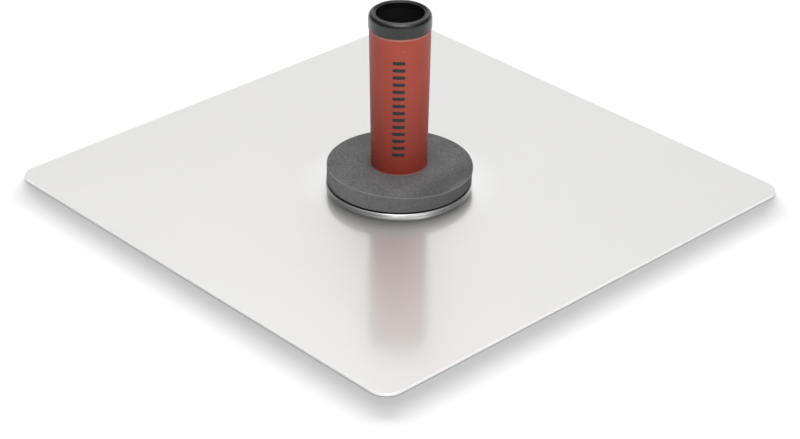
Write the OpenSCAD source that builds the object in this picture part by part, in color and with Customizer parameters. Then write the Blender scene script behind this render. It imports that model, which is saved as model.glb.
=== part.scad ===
// Plasterer's hawk: a square aluminium board carried on a short hollow handle.
// It stands on its load face with the handle pointing up, as it is stored.
// Origin: centre of the load face. +Z runs up the handle, the board's sides
// run along X and Y. Millimetres.

/* [Blade] */
// Side of the square board
blade_side = 330.2; // [200:0.1:360]
// Thickness of the board
blade_t = 2; // [1.6:0.1:4]
// Radius of the board's corners
blade_corner_r = 11.5; // [8:0.5:30]
// Width of the bevel round the load face
bevel_w = 2; // [1:0.5:4]
// Height of the bevel round the load face
bevel_h = 0.3; // [0.2:0.1:1]
// Edge break round the handle side of the board and round the disc
edge_break = 0.3; // [0.1:0.1:0.5]

/* [Backing disc] */
// Diameter of the disc that stiffens the middle of the board
disc_d = 88.9; // [80:0.1:120]
// Thickness of the disc
disc_t = 2; // [1.6:0.1:4]
// Number of flush rivets through disc and board
rivet_count = 4; // [3:1:8]
// Diameter of the rivet circle
rivet_circle_d = 62; // [50:1:70]
// Shank diameter of a rivet
rivet_d = 4; // [3:0.5:5]
// Diameter of a rivet's flush head
rivet_head_d = 7; // [6:0.5:9]

/* [Threaded boss] */
// Across flats of the hexagonal boss
boss_af = 16; // [14:0.5:18]
// Height of the boss above the disc
boss_h = 12; // [10:0.5:14]
// Diameter of the spigot that holds the boss in the disc
boss_spigot_d = 12; // [11:0.5:14]
// Depth of metal left under the thread
boss_floor = 1; // [0.5:0.1:2]

/* [Handle core] */
// Height of the whole handle's top above the load face
handle_top = 115.6; // [100:0.1:140]
// Diameter of the thin flange at the handle's foot
flange_d = 80; // [70:1:86]
// Thickness of that flange
flange_t = 1.2; // [1:0.1:2]
// Outer diameter of the core tube
core_d = 31.8; // [31:0.1:33]
// Diameter of the open socket in the handle
socket_d = 29; // [24:0.1:29.1]
// Thickness of the web that the bolt clamps
web_t = 6; // [5:0.5:8]
// Diameter of the well round the bolt's head
well_d = 20; // [19:0.5:22]
// Height of the well above the web
well_h = 13.7; // [12:0.1:18]

/* [Grip] */
// Diameter of the grip at its foot
grip_d_low = 33.8; // [33.4:0.1:38]
// Diameter of the grip at its top
grip_d_high = 36.9; // [35:0.1:40]
// Rounding of the grip's top edge
grip_edge_r = 0.7; // [0.2:0.1:0.8]
// Number of tread bars in the grip
bar_count = 14; // [6:1:16]
// Length of a tread bar round the grip
bar_w = 7.6; // [5:0.1:10]
// Height of a tread bar
bar_h = 2; // [1.4:0.1:2.6]
// Spacing of the tread bars
bar_pitch = 4.7; // [3.5:0.1:5]
// Height of the lowest tread bar above the load face
bar_z = 29.5; // [24:0.5:32]
// Stand-off of a tread bar from the grip
bar_proud = 0.2; // [0.1:0.1:0.5]
// Bearing of the row of tread bars, anticlockwise from +X
bar_bearing = 225; // [0:1:360]

/* [End ring] */
// Outer diameter of the ring at the handle's open end
ring_d = 37.8; // [37.2:0.1:40]
// Height of the ring
ring_h = 9.4; // [8:0.1:12]
// Width of the ring's rounded shoulder
shoulder_w = 2.5; // [2:0.1:2.5]
// Height of the shoulder's rounding
shoulder_h = 3.4; // [2:0.1:4]
// Rounding of the shoulder's inner side
inner_round = 0.8; // [0.6:0.05:0.85]
// Radius of the bead round the ring's mouth
bead_r = 0.35; // [0.2:0.05:0.35]
// Thickness of the lip that caps the core tube
ring_lip = 4.6; // [3:0.1:5]

/* [Foam pad] */
// Diameter of the foam pad
pad_d = 88.9; // [70:0.1:100]
// Thickness of the foam pad
pad_t = 10.6; // [6:0.1:14]
// Rounding of the pad's rims
pad_edge_r = 0.6; // [0.3:0.1:1.5]

/* [Bolt] */
// Thread diameter
thread_d = 8; // [8:1:8]
// Thread pitch
thread_pitch = 1.25; // [1:0.25:1.25]
// Length under the head
bolt_l = 20; // [18:1:20]
// Across flats of the head
head_af = 13; // [12:0.5:13]
// Height of the head
head_h = 5.3; // [4:0.1:5.5]
// Diameter and thickness of the flat washer
flat_washer_d = 16; // [14:0.5:17]
flat_washer_t = 1.6; // [1.2:0.1:2]
// Diameter and thickness of the split spring washer
spring_washer_d = 14.8; // [13:0.1:15]
spring_washer_t = 2; // [1.6:0.1:2.4]

/* [Hidden] */
$fn = 96;

// Clearances
running_play = 0.05;      // bolt in its thread, radial
slip_play = 0.25;         // handle over the boss, each side
seat_play = 0.1;          // pieces of one assembly round each other, radial
groove = 0.2;             // open line between the grip and the end ring
cut = 1;                  // how far a cutter runs past what it cuts

// Heights above the load face
disc_z = blade_t;
flange_z = disc_z + disc_t;
foot_z = flange_z + flange_t;
boss_top = flange_z + boss_h;
web_z = boss_top + slip_play;
web_top = web_z + web_t;
well_top = web_top + well_h;
spring_washer_z = web_top + flat_washer_t;
head_z = spring_washer_z + spring_washer_t;
ring_z = handle_top - ring_h;
neck_top = handle_top - ring_lip;
grip_top = ring_z - groove;
thread_floor = disc_z + disc_t + boss_floor;

// Thread form: grooves of the basic depth, with small flats on the crests
thread_depth = 0.54 * thread_pitch;
thread_crest = thread_pitch / 8;
thread_turns = floor((bolt_l - 2 * thread_pitch) / thread_pitch);

function grip_r(z) =
    (grip_d_low + (grip_d_high - grip_d_low) * (z - foot_z) / (grip_top - foot_z)) / 2;

// Points round an ellipse about [x, y] with half-axes rx and ry, from angle a on through turn
function oval(x, y, rx, ry, a, turn, steps) =
    [for (i = [0 : steps]) [x + rx * cos(a + turn * i / steps), y + ry * sin(a + turn * i / steps)]];

// Points of a quarter round about [x, y], from angle a to angle a + 90
function quarter(x, y, r, a, steps = 12) = oval(x, y, r, r, a, 90, steps);

// Square plate with true round corners
module round_square(side, r) {
    square([side, side - 2 * r], center = true);
    square([side - 2 * r, side], center = true);
    for (x = [-1, 1], y = [-1, 1])
        translate([x * (side / 2 - r), y * (side / 2 - r)])
            circle(r);
}

// Triangular cutter that runs all the way round a round-cornered square.
// It takes w off the face and h off the edge; the face is at z = 0, the
// cutter works upwards.
module edge_cutter(side, r, w, h) {
    straight = side - 2 * r;
    past = w * 0.5;
    // The cut's slanted line, carried on past the face and past the edge
    slope = h / w;
    profile = [
        [r - w - past, -past * slope],
        [r + past, h + past * slope],
        [r + past, -past * slope]
    ];
    for (a = [0 : 90 : 270])
        rotate([0, 0, a]) {
            translate([side / 2 - r, 0, 0])
                rotate([90, 0, 0])
                    linear_extrude(straight, center = true)
                        polygon(profile);
            translate([side / 2 - r, side / 2 - r, 0])
                rotate_extrude(angle = 90)
                    polygon(profile);
        }
}

// Solid of revolution of one half of a flush rivet, head up at z = 0
module rivet_half(depth) {
    sink = min((rivet_head_d - rivet_d) / 2, 0.8 * depth);
    rotate_extrude()
        polygon([
            [0, 0], [rivet_head_d / 2, 0], [rivet_d / 2, -sink],
            [rivet_d / 2, -depth], [0, -depth]
        ]);
}

// One flush rivet through board and disc, heads on both outer faces
module rivet() {
    thickness = blade_t + disc_t;
    translate([0, 0, thickness])
        rivet_half(thickness / 2);
    mirror([0, 0, 1])
        rivet_half(thickness / 2);
}

module rivets() {
    for (i = [0 : rivet_count - 1])
        rotate([0, 0, 45 + i * 360 / rivet_count])
            translate([rivet_circle_d / 2, 0, 0])
                rivet();
}

// Right hexagonal prism given across its flats
module hex_prism(af, h) {
    cylinder(h = h, d = af / cos(30), $fn = 6);
}

// Square aluminium board, bevelled round its load face
module blade() {
    color("gainsboro")
        difference() {
            linear_extrude(blade_t)
                round_square(blade_side, blade_corner_r);
            edge_cutter(blade_side, blade_corner_r, bevel_w, bevel_h);
            translate([0, 0, blade_t])
                mirror([0, 0, 1])
                    edge_cutter(blade_side, blade_corner_r, edge_break, edge_break);
            rivets();
        }
}

// Stiffening disc on the handle side of the board
module backing_disc() {
    color("lightgray")
        difference() {
            translate([0, 0, disc_z])
                rotate_extrude()
                    polygon([
                        [boss_spigot_d / 2, 0], [disc_d / 2 - edge_break, 0],
                        [disc_d / 2, edge_break],
                        [disc_d / 2, disc_t - edge_break],
                        [disc_d / 2 - edge_break, disc_t],
                        [boss_spigot_d / 2, disc_t]
                    ]);
            rivets();
        }
}

// Flush rivets that hold the disc to the board
module disc_rivets() {
    color("silver")
        rivets();
}

// Hexagonal boss clinched into the disc, with the blind thread for the bolt
module threaded_boss() {
    color("darkgray")
        difference() {
            union() {
                translate([0, 0, disc_z])
                    cylinder(h = disc_t, d = boss_spigot_d);
                translate([0, 0, flange_z])
                    hex_prism(boss_af, boss_h);
            }
            translate([0, 0, thread_floor])
                cylinder(h = boss_h + cut, d = thread_d + 2 * running_play);
        }
}

// Moulded core: foot flange, web, bolt well and the open socket above it
module handle_core() {
    color("#2b2b2b")
        difference() {
            union() {
                translate([0, 0, flange_z])
                    cylinder(h = flange_t, d = flange_d);
                translate([0, 0, flange_z])
                    cylinder(h = neck_top - flange_z, d = core_d);
            }
            translate([0, 0, flange_z - cut])
                hex_prism(boss_af + 2 * slip_play, web_z - flange_z + cut);
            translate([0, 0, flange_z])
                cylinder(h = web_top - flange_z + cut, d = thread_d + 1);
            translate([0, 0, web_top])
                cylinder(h = well_h + cut, d = well_d);
            translate([0, 0, well_top])
                cylinder(h = handle_top, d = socket_d);
        }
}

// Round-ended bars, standing out from the axis, for the tread and its slots
module bar_blanks() {
    for (i = [0 : bar_count - 1])
        rotate([0, 0, bar_bearing])
            translate([0, 0, bar_z + i * bar_pitch])
                rotate([90, 0, 90])
                    linear_extrude(ring_d) {
                        square([bar_w - bar_h, bar_h], center = true);
                        for (side = [-1, 1])
                            translate([side * (bar_w - bar_h) / 2, 0])
                                circle(d = bar_h, $fn = 32);
                    }
}

// Outline of the tapered grip's tube, stood off its surface by extra
module grip_tube(extra = 0) {
    r = grip_edge_r;
    rotate_extrude()
        polygon(concat(
            [[core_d / 2, foot_z], [grip_d_low / 2 + extra, foot_z]],
            quarter(grip_r(grip_top) - r + extra, grip_top - r, r, 0),
            [[core_d / 2, grip_top]]
        ));
}

// Soft tapered sleeve over the core
module grip_sleeve() {
    color("#b8483b")
        difference() {
            grip_tube();
            bar_blanks();
        }
}

// Row of dark tread bars set through the sleeve
module grip_tread() {
    color("#242424")
        intersection() {
            grip_tube(bar_proud);
            bar_blanks();
        }
}

// Ring that caps the core tube at the handle's open end: a rounded shoulder, then a
// narrow groove and a fine bead round the mouth
module end_ring() {
    shoulder_r = ring_d / 2 - shoulder_w;
    groove_z = handle_top - inner_round;
    bead_x = socket_d / 2 + bead_r;
    color("#3c3c3e")
        rotate_extrude()
            polygon(concat(
                [
                    [core_d / 2 + seat_play, ring_z],
                    [ring_d / 2 - edge_break, ring_z],
                    [ring_d / 2, ring_z + edge_break]
                ],
                oval(shoulder_r, handle_top - shoulder_h, shoulder_w, shoulder_h, 0, 90, 24),
                oval(shoulder_r, groove_z, inner_round, inner_round, 100, 80, 8),
                oval(bead_x, groove_z, bead_r, bead_r, 0, 180, 12),
                [[socket_d / 2, neck_top], [core_d / 2 + seat_play, neck_top]]
            ));
}

// Soft pad that the knuckles rest against, slipped over the handle's foot
module foam_pad() {
    r = pad_edge_r;
    hole_r = grip_r(foot_z + pad_t) + seat_play;
    color("dimgray")
        translate([0, 0, foot_z])
            rotate_extrude()
                polygon(concat(
                    [[hole_r, 0]],
                    quarter(pad_d / 2 - r, r, r, -90, 6),
                    quarter(pad_d / 2 - r, pad_t - r, r, 0, 6),
                    [[hole_r, pad_t]]
                ));
}

// Flat washer on the web
module flat_washer() {
    color("silver")
        translate([0, 0, web_top])
            difference() {
                cylinder(h = flat_washer_t, d = flat_washer_d);
                translate([0, 0, -cut])
                    cylinder(h = flat_washer_t + 2 * cut, d = thread_d + 0.4);
            }
}

// Split spring washer under the bolt's head
module spring_washer() {
    inner_r = thread_d / 2 + 0.1;
    split = 12;
    color("silver")
        translate([0, 0, spring_washer_z])
            rotate_extrude(angle = 360 - split)
                translate([inner_r, 0])
                    square([spring_washer_d / 2 - inner_r, spring_washer_t]);
}

// Profile points of one thread groove whose upper crest ends at height z
function groove_points(z) = [
    [thread_d / 2, z],
    [thread_d / 2 - thread_depth, z - (thread_pitch - thread_crest) / 2],
    [thread_d / 2, z - thread_pitch + thread_crest]
];

// Hexagon bolt that clamps the handle to the boss
module handle_bolt() {
    tip_r = thread_d / 2 - thread_depth;
    first_groove = -thread_pitch;
    color("silver")
        translate([0, 0, head_z]) {
            rotate_extrude()
                polygon(concat(
                    [[0, 0.5], [thread_d / 2, 0.5]],
                    [for (i = [0 : thread_turns - 1]) each groove_points(first_groove - i * thread_pitch)],
                    [[thread_d / 2, -bolt_l + thread_depth], [tip_r, -bolt_l], [0, -bolt_l]]
                ));
            intersection() {
                hex_prism(head_af, head_h);
                cylinder(h = head_h, r1 = head_af / 2 + head_h * 1.6, r2 = head_af / 2);
            }
        }
}

blade();
backing_disc();
disc_rivets();
threaded_boss();
handle_core();
grip_sleeve();
grip_tread();
end_ring();
foam_pad();
flat_washer();
spring_washer();
handle_bolt();
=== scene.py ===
"""A plasterer's hawk standing on its load face, handle up, on a plain pale floor."""
import math

import bpy
import bmesh
from mathutils import Matrix, Vector, noise

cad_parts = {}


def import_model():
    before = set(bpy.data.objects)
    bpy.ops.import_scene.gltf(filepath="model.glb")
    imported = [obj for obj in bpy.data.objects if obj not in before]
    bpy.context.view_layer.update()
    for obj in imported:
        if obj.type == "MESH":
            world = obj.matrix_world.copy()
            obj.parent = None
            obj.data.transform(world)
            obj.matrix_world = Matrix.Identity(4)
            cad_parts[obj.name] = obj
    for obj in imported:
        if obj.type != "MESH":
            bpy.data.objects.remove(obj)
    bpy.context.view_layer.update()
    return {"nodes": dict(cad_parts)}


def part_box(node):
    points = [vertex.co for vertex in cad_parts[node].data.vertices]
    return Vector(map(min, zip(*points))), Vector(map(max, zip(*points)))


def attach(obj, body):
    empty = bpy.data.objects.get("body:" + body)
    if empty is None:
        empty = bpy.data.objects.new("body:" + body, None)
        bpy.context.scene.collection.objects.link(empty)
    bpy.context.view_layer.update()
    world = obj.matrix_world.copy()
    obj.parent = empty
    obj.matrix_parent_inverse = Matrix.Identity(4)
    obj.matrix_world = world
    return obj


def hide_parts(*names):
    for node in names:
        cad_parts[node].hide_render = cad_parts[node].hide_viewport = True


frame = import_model()
NODES = frame["nodes"]
MM = 0.001
VIEW_BEARING = 43.556   # the way the camera looks, in degrees from +Y towards +X


def directions(bearing):
    """Level unit vectors that point away from the viewer and to the viewer's right."""
    a = math.radians(bearing)
    return Vector((math.sin(a), math.cos(a), 0)), Vector((math.cos(a), -math.sin(a), 0))


AWAY, RIGHT = directions(VIEW_BEARING)
PRESSED_SIDE = (RIGHT * 0.8 - AWAY * 0.6).normalized()   # where the foam pad has slumped


# ---------------------------------------------------------------- materials

def material(name):
    """A new node material: its tree, its Principled shader and its object coordinates."""
    mat = bpy.data.materials.new(name)
    mat.use_nodes = True
    tree = mat.node_tree
    shader = tree.nodes["Principled BSDF"]
    coords = tree.nodes.new("ShaderNodeTexCoord").outputs["Object"]
    return mat, tree, shader, coords


def math_node(tree, operation, a, b=0.0):
    """One calculation on one or two numbers or sockets."""
    node = tree.nodes.new("ShaderNodeMath")
    node.operation = operation
    for socket, value in zip(node.inputs, (a, b)):
        if isinstance(value, (int, float)):
            socket.default_value = value
        else:
            tree.links.new(value, socket)
    return node.outputs[0]


def scaled(tree, coords, scale):
    """The coordinates stretched by a scale for each axis."""
    node = tree.nodes.new("ShaderNodeMapping")
    node.inputs["Scale"].default_value = scale
    tree.links.new(coords, node.inputs["Vector"])
    return node.outputs[0]


def noise_node(tree, coords, scale, detail=2.0, roughness=0.5):
    """Smooth noise, about 0.5 on average."""
    node = tree.nodes.new("ShaderNodeTexNoise")
    node.inputs["Scale"].default_value = scale
    node.inputs["Detail"].default_value = detail
    node.inputs["Roughness"].default_value = roughness
    tree.links.new(coords, node.inputs["Vector"])
    return node.outputs["Fac"]


def remap(tree, value, low, high, new_low, new_high):
    """new_low where the value is low or less, new_high where it is high or more."""
    node = tree.nodes.new("ShaderNodeMapRange")
    sockets = ("From Min", "From Max", "To Min", "To Max")
    for socket, number in zip(sockets, (low, high, new_low, new_high)):
        node.inputs[socket].default_value = number
    tree.links.new(value, node.inputs["Value"])
    return node.outputs["Result"]


def weighted(tree, first, second, share):
    """An average of two values, in which the first has the share given."""
    return math_node(tree, "ADD", math_node(tree, "MULTIPLY", first, share),
                     math_node(tree, "MULTIPLY", second, 1 - share))


def ramp(tree, value, stops):
    """A colour ramp between two (position, colour) stops."""
    node = tree.nodes.new("ShaderNodeValToRGB")
    for element, (position, color) in zip(node.color_ramp.elements, stops):
        element.position = position
        element.color = (*color, 1.0)
    tree.links.new(value, node.inputs["Fac"])
    return node.outputs["Color"]


def mixed(tree, factor, first, second):
    """Colour first where factor is 0 and second where it is 1."""
    node = tree.nodes.new("ShaderNodeMix")
    node.data_type = "RGBA"
    factor_socket, first_socket, second_socket = (node.inputs[i] for i in (0, 6, 7))
    tree.links.new(factor, factor_socket)
    for socket, value in ((first_socket, first), (second_socket, second)):
        if isinstance(value, tuple):
            socket.default_value = (*value, 1.0)
        else:
            tree.links.new(value, socket)
    return node.outputs[2]


def slope_of(tree):
    """1 on level faces, 0 on upright ones."""
    geometry = tree.nodes.new("ShaderNodeNewGeometry")
    split = tree.nodes.new("ShaderNodeSeparateXYZ")
    tree.links.new(geometry.outputs["True Normal"], split.inputs[0])
    return math_node(tree, "ABSOLUTE", split.outputs["Z"])


def upright(tree):
    """1 on steep faces, such as a sheet's cut edge, and 0 on level ones."""
    return remap(tree, slope_of(tree), 0.80, 0.95, 1.0, 0.0)


def along(tree, direction, axis):
    """How far a direction or place lies along an axis."""
    node = tree.nodes.new("ShaderNodeVectorMath")
    node.operation = "DOT_PRODUCT"
    node.inputs[1].default_value = axis.normalized()
    tree.links.new(direction, node.inputs[0])
    return node.outputs["Value"]


def height_of(tree, coords):
    """Height above the load face, in metres."""
    split = tree.nodes.new("ShaderNodeSeparateXYZ")
    tree.links.new(coords, split.inputs[0])
    return split.outputs["Z"]


def radius_of(tree, coords):
    """Distance from the handle's axis, in metres."""
    length = tree.nodes.new("ShaderNodeVectorMath")
    length.operation = "LENGTH"
    tree.links.new(scaled(tree, coords, (1.0, 1.0, 0.0)), length.inputs[0])
    return length.outputs["Value"]


def bump(tree, shader, height, distance):
    """Fine relief: the height value scaled to a depth in metres."""
    node = tree.nodes.new("ShaderNodeBump")
    node.inputs["Strength"].default_value = 1.0
    node.inputs["Distance"].default_value = distance
    tree.links.new(height, node.inputs["Height"])
    tree.links.new(node.outputs["Normal"], shader.inputs["Normal"])


def shade(color, factor):
    """The colour made darker or paler."""
    return tuple(c * factor for c in color)


def board_metal():
    """Satin rolled aluminium: fine grain one way, burnished round the disc, a paler sheared edge."""
    mat, tree, shader, coords = material("board_aluminium")
    color = (0.71, 0.704, 0.685)
    edge_color = (0.96, 0.96, 0.95)
    edge = upright(tree)
    clouds = noise_node(tree, coords, 14.0, detail=3.0, roughness=0.6)
    face = ramp(tree, clouds, [(0.3, shade(color, 0.99)), (0.7, shade(color, 1.005))])
    tree.links.new(mixed(tree, edge, face, edge_color), shader.inputs["Base Color"])
    tree.links.new(math_node(tree, "SUBTRACT", 1.0, edge), shader.inputs["Metallic"])
    along_grain, across_grain = 1500.0, 14000.0
    stretch = (along_grain, across_grain, along_grain)
    grain = noise_node(tree, scaled(tree, coords, stretch), 1.0)
    disc_radius, burnished_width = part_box("backing_disc")[1].x, 17.5 * MM
    radius = radius_of(tree, coords)
    burnished = remap(tree, radius, disc_radius, disc_radius + burnished_width, 0.5, 1.0)
    satin = remap(tree, grain, 0.38, 0.56, 0.30, 0.72)
    tree.links.new(math_node(tree, "MULTIPLY", burnished, satin), shader.inputs["Roughness"])
    # Highlights are drawn out across the grain
    across = tree.nodes.new("ShaderNodeCombineXYZ")
    across.inputs["Y"].default_value = 1.0
    tree.links.new(across.outputs[0], shader.inputs["Tangent"])
    shader.inputs["Anisotropic"].default_value = 0.45
    bump(tree, shader, grain, 0.0004 * MM)
    shader.inputs["Coat Weight"].default_value = 1.0
    shader.inputs["Coat IOR"].default_value = 2.3
    shader.inputs["Coat Roughness"].default_value = 0.14
    return mat


def turned_metal(name, color, rough):
    """Aluminium turned on a lathe: fine rings on its faces and along its rim."""
    mat, tree, shader, coords = material(name)
    place = tree.nodes.new("ShaderNodeCombineXYZ")
    outward_and_up = math_node(tree, "ADD", radius_of(tree, coords), height_of(tree, coords))
    tree.links.new(outward_and_up, place.inputs["X"])
    rings = noise_node(tree, place.outputs[0], 1300.0, detail=3.0, roughness=0.6)
    tree.links.new(ramp(tree, rings, [(0.42, shade(color, 0.55)), (0.58, shade(color, 1.12))]),
                   shader.inputs["Base Color"])
    tree.links.new(remap(tree, rings, 0.3, 0.7, rough - 0.08, rough + 0.10), shader.inputs["Roughness"])
    bump(tree, shader, rings, 0.01 * MM)
    shader.inputs["Metallic"].default_value = 1.0
    return mat


def zinc_metal(name, color):
    """Bright zinc plate: faint spangle and small dull spots."""
    mat, tree, shader, coords = material(name)
    spangle = noise_node(tree, coords, 900.0, detail=3.0)
    tree.links.new(ramp(tree, spangle, [(0.35, shade(color, 0.85)), (0.65, shade(color, 1.05))]),
                   shader.inputs["Base Color"])
    tree.links.new(remap(tree, spangle, 0.3, 0.7, 0.25, 0.38), shader.inputs["Roughness"])
    bump(tree, shader, spangle, 0.01 * MM)
    shader.inputs["Metallic"].default_value = 1.0
    return mat


def moulded(name, color, rough, texture, texture_scale, depth, gloss=0.5):
    """Moulded plastic or rubber: a fine texture mixed with faint clouds, in the share given."""
    mat, tree, shader, coords = material(name)
    grain = noise_node(tree, coords, texture_scale, detail=3.0, roughness=0.6)
    clouds = noise_node(tree, coords, 60.0)
    mottle = weighted(tree, grain, clouds, texture)
    tree.links.new(ramp(tree, mottle, [(0.3, shade(color, 0.92)), (0.7, shade(color, 1.06))]),
                   shader.inputs["Base Color"])
    tree.links.new(remap(tree, grain, 0.3, 0.7, rough - 0.04, rough + 0.04), shader.inputs["Roughness"])
    bump(tree, shader, grain, depth)
    shader.inputs["Specular IOR Level"].default_value = gloss
    return mat


def foam():
    """Closed-cell foam: small open pores and mottled grey, with painted highlights on its rims, a wall
    painted paler than its top as painted light, and painted shade on the side where it has slumped.
    """
    mat, tree, shader, coords = material("pad_foam")
    color = (0.136, 0.136, 0.137)
    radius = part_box("foam_pad")[1].x
    cells = tree.nodes.new("ShaderNodeTexVoronoi")
    cells.inputs["Scale"].default_value = 1100.0
    tree.links.new(coords, cells.inputs["Vector"])
    pores = remap(tree, cells.outputs["Distance"], 0.1, 0.7, 0.0, 1.0)
    speckle = noise_node(tree, coords, 600.0, detail=4.0, roughness=0.7)
    clouds = noise_node(tree, coords, 60.0, detail=3.0)
    tone = weighted(tree, speckle, clouds, 0.75)
    face = ramp(tree, tone, [(0.36, shade(color, 0.72)), (0.64, shade(color, 1.30))])
    # Painted light: the upright wall is painted far paler than the top
    wall = ramp(tree, tone, [(0.36, shade(color, 1.75)), (0.64, shade(color, 2.75))])
    # Painted shade on the side where the pad has slumped: a dark crescent just inside the rim, and a
    # darker wall below it
    across = along(tree, coords, PRESSED_SIDE)
    painted_crescent = remap(tree, across, 0.60 * radius, 0.80 * radius, 0.0, 1.0)
    rim = remap(tree, across, 0.93 * radius, 0.97 * radius, 1.0, 0.0)
    painted_shade_face = math_node(tree, "MULTIPLY", math_node(tree, "MULTIPLY", painted_crescent, rim), 0.34)
    face = mixed(tree, painted_shade_face, face, shade(color, 0.2))
    wall = mixed(tree, remap(tree, across, -radius, radius, 0.0, 0.76), wall, shade(color, 0.7))
    body = mixed(tree, upright(tree), face, wall)
    # Painted highlights on the rounded rims: only they are neither level nor upright
    slope = slope_of(tree)
    not_upright = remap(tree, slope, 0.25, 0.5, 0.0, 1.0)
    not_level = remap(tree, slope, 0.8, 0.97, 1.0, 0.0)
    pale_marks = math_node(tree, "MULTIPLY", math_node(tree, "MULTIPLY", not_upright, not_level), 0.45)
    body = mixed(tree, pale_marks, body, shade(color, 2.6))
    tree.links.new(body, shader.inputs["Base Color"])
    shader.inputs["Roughness"].default_value = 0.9
    shader.inputs["Specular IOR Level"].default_value = 0.2
    height = math_node(tree, "ADD", math_node(tree, "MULTIPLY", pores, 0.5), speckle)
    bump(tree, shader, height, 0.08 * MM)
    return mat


def rubber_grip():
    """Red rubber sleeve with specks of dust: painted shade darkens it towards the foot, a painted
    highlight pales the band under its top lip, and a pale line runs where it meets the pad.
    """
    mat, tree, shader, coords = material("grip_rubber")
    color = (0.34, 0.048, 0.025)
    painted_shade_red = (0.16, 0.003, 0.002)
    dust_and_highlight = (0.42, 0.23, 0.20)
    low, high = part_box("grip_sleeve")
    height = height_of(tree, coords)
    grain = noise_node(tree, coords, 3000.0, detail=3.0, roughness=0.6)
    clouds = noise_node(tree, coords, 60.0)
    mottle = weighted(tree, grain, clouds, 0.4)
    body = ramp(tree, mottle, [(0.3, shade(color, 0.93)), (0.7, shade(color, 1.05))])
    # Painted shade: darker towards the foot, where the pad shades the sleeve
    painted_foot_shade = remap(tree, height, low.z + 18 * MM, low.z + 70 * MM, 0.55, 0.0)
    body = mixed(tree, painted_foot_shade, body, painted_shade_red)
    # Specks of dust; a painted highlight in a pale band under the top lip; and a pale line where the
    # sleeve meets the pad
    specks = remap(tree, noise_node(tree, coords, 420.0, detail=1.0), 0.78, 0.82, 0.0, 0.7)
    lip = remap(tree, height, high.z - 1.5 * MM, high.z - 0.9 * MM, 0.0, 0.55)
    foot = remap(tree, height, low.z + 10.5 * MM, low.z + 11.2 * MM, 0.6, 0.0)
    pale_marks = math_node(tree, "MAXIMUM", math_node(tree, "MAXIMUM", lip, foot), specks)
    tree.links.new(mixed(tree, pale_marks, body, dust_and_highlight), shader.inputs["Base Color"])
    tree.links.new(remap(tree, grain, 0.3, 0.7, 0.46, 0.54), shader.inputs["Roughness"])
    bump(tree, shader, grain, 0.012 * MM)
    return mat


MATERIALS = {
    "blade": board_metal(),
    "backing_disc": turned_metal("disc_aluminium", (0.87, 0.87, 0.88), rough=0.28),
    "disc_rivets": turned_metal("rivet_aluminium", (0.74, 0.74, 0.74), rough=0.35),
    "threaded_boss": zinc_metal("boss_zinc", (0.62, 0.62, 0.63)),
    "handle_core": moulded("core_plastic", (0.010, 0.010, 0.011), rough=0.5,
                           texture=0.6, texture_scale=2500.0, depth=0.01 * MM),
    "grip_sleeve": rubber_grip(),
    "grip_tread": moulded("tread_rubber", (0.010, 0.010, 0.010), rough=0.55,
                          texture=0.4, texture_scale=3000.0, depth=0.012 * MM),
    "end_ring": moulded("ring_plastic", (0.009, 0.0093, 0.0100), rough=0.26,
                        texture=0.5, texture_scale=2500.0, depth=0.005 * MM, gloss=0.70),
    "foam_pad": foam(),
    "flat_washer": zinc_metal("washer_zinc", (0.66, 0.65, 0.62)),
    "spring_washer": zinc_metal("spring_washer_zinc", (0.60, 0.60, 0.58)),
    "handle_bolt": zinc_metal("bolt_zinc", (0.68, 0.66, 0.60)),
}

for name, mat in MATERIALS.items():
    mesh = NODES[name].data
    mesh.materials.clear()
    mesh.materials.append(mat)


# ------------------------------------------------------------------- pieces

def ease(x):
    """0 below 0, 1 above 1, smooth between."""
    x = min(1.0, max(0.0, x))
    return x * x * (3 - 2 * x)


def revolved(name, outline, segments):
    """A closed ring mesh; outline(angle) gives the closed section's (radius, height) points."""
    bm = bmesh.new()
    rings = []
    for i in range(segments):
        angle = 2 * math.pi * i / segments
        x, y = math.cos(angle), math.sin(angle)
        rings.append([bm.verts.new((r * x, r * y, z)) for r, z in outline(angle)])
    count = len(rings[0])
    for i in range(segments):
        here, there = rings[i], rings[(i + 1) % segments]
        for j in range(count):
            k = (j + 1) % count
            bm.faces.new((here[j], there[j], there[k], here[k]))
    bmesh.ops.recalc_face_normals(bm, faces=bm.faces)
    mesh = bpy.data.meshes.new(name)
    bm.to_mesh(mesh)
    bm.free()
    for polygon in mesh.polygons:
        polygon.use_smooth = True
    obj = bpy.data.objects.new(name, mesh)
    bpy.context.scene.collection.objects.link(obj)
    return obj


def arc(r, z, radius, start):
    """Points of a quarter round about (r, z), from start degrees on."""
    steps = 6
    angles = [math.radians(start + 90 * i / steps) for i in range(steps + 1)]
    return [(r + radius * math.cos(a), z + radius * math.sin(a)) for a in angles]


def line(a, b, steps):
    """Points strictly between a and b."""
    run, rise = b[0] - a[0], b[1] - a[1]
    return [(a[0] + run * i / steps, a[1] + rise * i / steps) for i in range(1, steps)]


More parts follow.
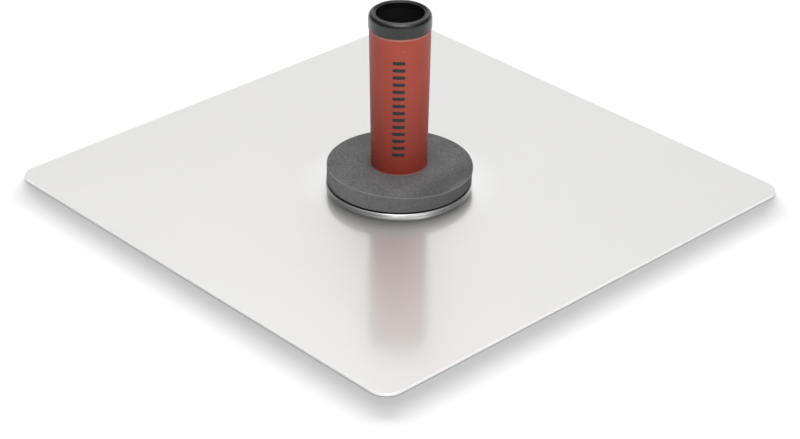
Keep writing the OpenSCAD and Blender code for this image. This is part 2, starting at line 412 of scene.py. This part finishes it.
def soft_pad():
    """The foam knuckle pad: it sits a little askew, and its rim has slumped on one side."""
    low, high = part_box("foam_pad")
    radius, bottom = high.x, low.z
    # The sleeve is this much thinner at the pad than at its widest, and fits with some play
    sleeve_taper, sleeve_play = 1.45 * MM, 0.1 * MM
    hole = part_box("grip_sleeve")[1].x - sleeve_taper
    rim, thickness = 0.5 * MM, 9.9 * MM
    top = bottom + thickness
    tilt_front, tilt_left = 0.9 * MM, 0.5 * MM
    off_centre, tucked_in = 0.6 * MM, 0.9 * MM
    slump_depth, slump_width = 1.5 * MM, 9 * MM
    wobble_size, ripple_size, ripple_spacing = 0.15 * MM, 0.12 * MM, 12 * MM
    ripple_place = Vector((5, 0, 0))

    def outline(angle):
        outward = Vector((math.cos(angle), math.sin(angle), 0))
        front, right = -outward.dot(AWAY), outward.dot(RIGHT)
        slumped = max(0.0, outward.dot(PRESSED_SIDE))
        wobble = wobble_size * noise.noise(outward * 2.5)
        wall = radius + wobble + off_centre * right
        foot = wall - tucked_in * max(0.0, right)

        def raise_top(r, z):
            tilt = (tilt_front * front - tilt_left * right) * r / radius
            ripple = ripple_size * noise.noise(outward * (r / ripple_spacing) + ripple_place)
            drop = slump_depth * slumped ** 2 * ease((r - radius + slump_width) / slump_width)
            return z + (tilt + ripple - drop) * ease((z - bottom) / (top - bottom))

        inner = hole + sleeve_play
        points = [(inner, bottom)] + line((inner, bottom), (foot - rim, bottom), 8)
        points += arc(foot - rim, bottom + rim, rim, -90)
        points += line((foot, bottom + rim), (wall, top - rim), 8)
        points += arc(wall - rim, top - rim, rim, 0)
        points += line((wall - rim, top), (inner + rim, top), 24)
        points += arc(inner + rim, top - rim, rim, 90)
        points += line((inner, top - rim), (inner, bottom), 4)
        return [(r, raise_top(r, z)) for r, z in points]

    pad = revolved("knuckle_pad", outline, 288)
    pad.data.materials.append(MATERIALS["foam_pad"])
    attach(pad, "handle")
    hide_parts("foam_pad")
    return pad


pad = soft_pad()


# -------------------------------------------------------------------- stage

def floor():
    """A wide sheet of plain pale paper."""
    mat, tree, shader, coords = material("floor_paper")
    mottle = noise_node(tree, coords, 3.0)
    tree.links.new(ramp(tree, mottle, [(0.3, (0.64, 0.64, 0.64)), (0.7, (0.65, 0.65, 0.65))]),
                   shader.inputs["Base Color"])
    shader.inputs["Roughness"].default_value = 1.0
    shader.inputs["Specular IOR Level"].default_value = 0.0
    half = 15.0
    corners = [(-half, -half, 0), (half, -half, 0), (half, half, 0), (-half, half, 0)]
    mesh = bpy.data.meshes.new("floor")
    mesh.from_pydata(corners, [], [(0, 1, 2, 3)])
    obj = bpy.data.objects.new("floor", mesh)
    obj.data.materials.append(mat)
    bpy.context.scene.collection.objects.link(obj)
    return obj


# The camera's tilt below the horizon, its lean, and its distance from what it looks at
VIEW_PITCH = 30.032
VIEW_ROLL = 0.500
VIEW_DISTANCE = 1.3597
# What the lens's centre looks at: a spot on the board, off the handle's axis
AIM_TOWARDS_VIEWER = 0.0441
AIM_RIGHT = 0.0009
AIM_HEIGHT = 0.0007
FOCAL_LENGTH = 103.185
SENSOR_WIDTH = 36.0


def camera():
    """The photograph's view, from above and in front of the board's near corner."""
    pitch, roll = math.radians(VIEW_PITCH), math.radians(VIEW_ROLL)
    forward = AWAY * math.cos(pitch) - Vector((0, 0, math.sin(pitch)))
    up = RIGHT.cross(forward)
    right = RIGHT * math.cos(roll) + up * math.sin(roll)
    up = right.cross(forward)
    aim = RIGHT * AIM_RIGHT - AWAY * AIM_TOWARDS_VIEWER + Vector((0, 0, AIM_HEIGHT))
    data = bpy.data.cameras.new("camera")
    data.lens = FOCAL_LENGTH
    data.sensor_width = SENSOR_WIDTH
    obj = bpy.data.objects.new("camera", data)
    rotation = Matrix((right, up, -forward)).transposed()
    obj.matrix_world = Matrix.Translation(aim - forward * VIEW_DISTANCE) @ rotation.to_4x4()
    bpy.context.scene.collection.objects.link(obj)
    bpy.context.scene.camera = obj


def area_light(name, place, target, size, power):
    """A white rectangular lamp that faces its target and is itself unseen."""
    data = bpy.data.lights.new(name, "AREA")
    data.shape = "RECTANGLE"
    data.size, data.size_y = size
    data.energy = power
    obj = bpy.data.objects.new(name, data)
    obj.location = place
    obj.rotation_euler = (Vector(target) - Vector(place)).to_track_quat("-Z", "Y").to_euler()
    obj.visible_camera = False
    bpy.context.scene.collection.objects.link(obj)
    return obj


def spot_at(away, right, height):
    """A place given by how far it is behind the object, to its right and above the floor."""
    return AWAY * away + RIGHT * right + Vector((0, 0, height))


def glow(tree, direction, toward, sharpness, strength):
    """A soft patch of light in the surround, brightest in one direction."""
    facing = math_node(tree, "MAXIMUM", along(tree, direction, toward), 0.0)
    return math_node(tree, "MULTIPLY", math_node(tree, "POWER", facing, sharpness), strength)


def world(behind, above, front):
    """Soft studio surround: a glow behind the object, one overhead and one in front."""
    w = bpy.data.worlds.new("studio")
    w.use_nodes = True
    tree = w.node_tree
    background = tree.nodes["Background"]
    background.inputs["Color"].default_value = (1, 1, 1, 1)
    direction = tree.nodes.new("ShaderNodeTexCoord").outputs["Generated"]
    strength = glow(tree, direction, spot_at(1, 0.10, 0.58), 5.0, behind)
    for patch in (glow(tree, direction, spot_at(0, 0, 1), 4.0, above),
                  glow(tree, direction, spot_at(-1, 0.3, 0.6), 4.0, front)):
        strength = math_node(tree, "ADD", strength, patch)
    tree.links.new(strength, background.inputs["Strength"])
    bpy.context.scene.world = w


def group_of(name, *objects):
    """A collection that serves only as a list for light linking."""
    group = bpy.data.collections.new(name)
    for obj in objects:
        group.objects.link(obj)
    return group


def linked(light, lit, casts=None):
    """Make a light fall on some objects only, and let only some of them throw its shadow."""
    light.light_linking.receiver_collection = group_of(light.name + "_lit", *lit)
    if casts is not None:
        light.light_linking.blocker_collection = group_of(light.name + "_casts", *casts)


def paper_light(name, low, high, power):
    """A wide panel far behind, between two low elevations in degrees, that lights only the
    paper: the board's edge throws its soft shadow towards the viewer."""
    distance, half_width = 12.0, 28.0
    bottom, top = (distance * math.tan(math.radians(angle)) for angle in (low, high))
    width = 2 * distance * math.tan(math.radians(half_width))
    middle = (bottom + top) / 2
    panel = area_light(name, spot_at(distance, 0, middle), (0, 0, middle), (width, top - bottom), power)
    linked(panel, [ground], [NODES["blade"]])


def edge_light(power):
    """A low light in front that picks out the board's cut edge."""
    elevation = math.radians(8)
    data = bpy.data.lights.new("edge_light", "SUN")
    data.energy = power
    data.angle = math.radians(20)
    obj = bpy.data.objects.new("edge_light", data)
    to_light = spot_at(-math.cos(elevation), 0, math.sin(elevation))
    obj.rotation_euler = to_light.to_track_quat("Z", "Y").to_euler()
    bpy.context.scene.collection.objects.link(obj)
    linked(obj, [NODES["blade"]], [NODES["backing_disc"]])


bpy.context.scene.view_settings.view_transform = "Standard"
camera()
ground = floor()
world(behind=1.08, above=1.78, front=0.48)
# Two soft lamps for the object, one close above it and one from the front right
mid_handle, grip_middle = (0, 0, 0.05), (0, 0, 0.06)
near_place = spot_at(away=-0.20, right=0.0, height=0.48)
near_lamp = area_light("near", near_place, mid_handle, size=(0.30, 0.30), power=0.72)
key_place = spot_at(away=-1.3, right=0.9, height=0.9)
key_lamp = area_light("key", key_place, mid_handle, size=(0.6, 0.6), power=1.2)
for lamp in (near_lamp, key_lamp):
    linked(lamp, [pad, *NODES.values()])
# Two panels for the paper: a narrow strong one, and a taller weak one
paper_light("low_panel", low=3.2, high=6.0, power=12600)
paper_light("high_panel", low=2.6, high=16.0, power=2650)
edge_light(power=1.5)
# One lamp for the grip and its bars
grip_place = spot_at(away=-1.5, right=0.26, height=0.7)
grip_lamp = area_light("grip_lamp", grip_place, grip_middle, size=(0.4, 0.4), power=8.5)
linked(grip_lamp, [NODES["grip_sleeve"], NODES["grip_tread"]])
